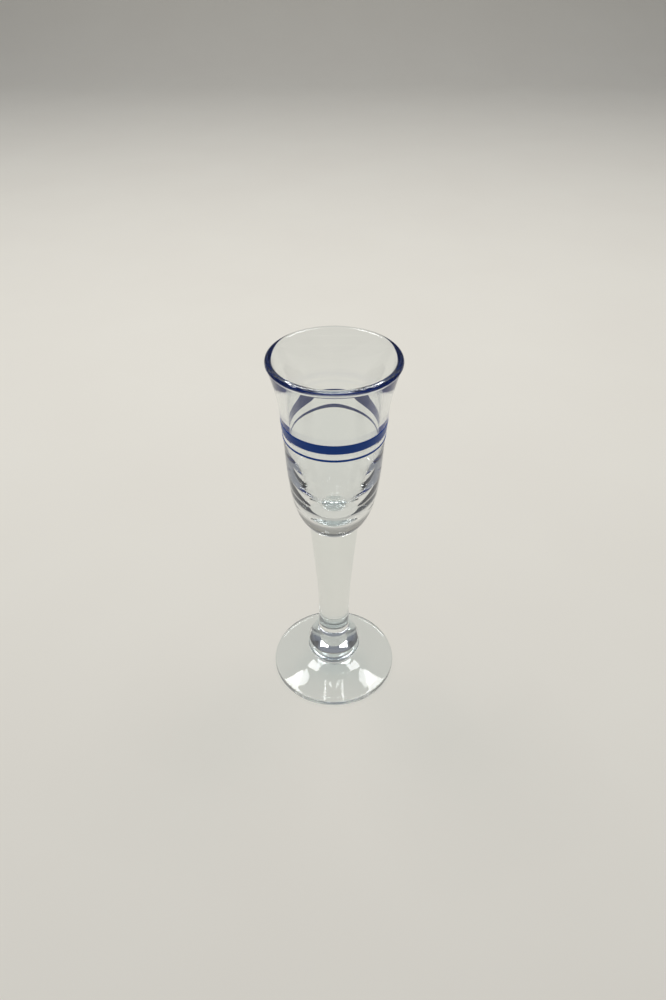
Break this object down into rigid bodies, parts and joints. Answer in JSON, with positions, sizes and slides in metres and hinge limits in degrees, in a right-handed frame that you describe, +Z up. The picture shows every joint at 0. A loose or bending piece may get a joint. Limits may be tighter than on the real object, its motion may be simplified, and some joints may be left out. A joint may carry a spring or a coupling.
{
  "type": "schnapps glass",
  "caption": "Stemmed schnapps glass: thick blown bowl with a flared lip and blue enamel bands, solid drawn stem, ball knop and shallow conical foot.",
  "frame": {"origin": "centre of the foot's underside, on the plane the glass stands on", "axes": "+Z up along the axis of the glass, from the foot to the lip; X and Y are free, because the glass is turned"},
  "size_m": [0.0514, 0.0514, 0.1493],
  "materials": {
    "clear_glass": "gloss",
    "blue_enamel": "gloss"
  },
  "bodies": {
    "root": {"foot": "clear_glass", "collar": "clear_glass", "knop": "clear_glass", "stem": "clear_glass", "bowl": "clear_glass", "wide_band": "blue_enamel", "narrow_band": "blue_enamel"}
  },
  "joints": []
}
